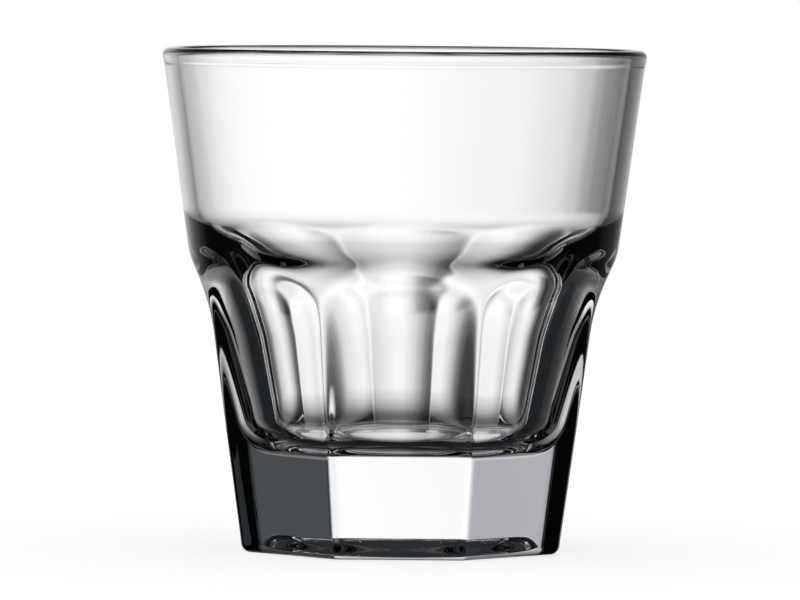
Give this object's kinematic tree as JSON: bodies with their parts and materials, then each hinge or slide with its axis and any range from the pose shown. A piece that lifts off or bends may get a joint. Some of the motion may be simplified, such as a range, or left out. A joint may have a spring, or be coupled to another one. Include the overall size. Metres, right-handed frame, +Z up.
{
  "type": "rocks glass",
  "caption": "Clear pressed rocks glass with flat panels round a thick lower body, a stepped cavity, a smooth flared upper wall and a rounded rim.",
  "frame": {"origin": "on the table, under the middle of the foot ring", "axes": "+Z up along the axis of the glass, one flat panel faces -Y"},
  "size_m": [0.084, 0.084, 0.087],
  "materials": {
    "clear_glass": "clear, fire polished"
  },
  "bodies": {
    "root": {"foot_ring": "clear_glass", "base": "clear_glass", "panel_wall": "clear_glass", "shoulder": "clear_glass", "upper_wall": "clear_glass", "rim": "clear_glass"}
  },
  "joints": []
}
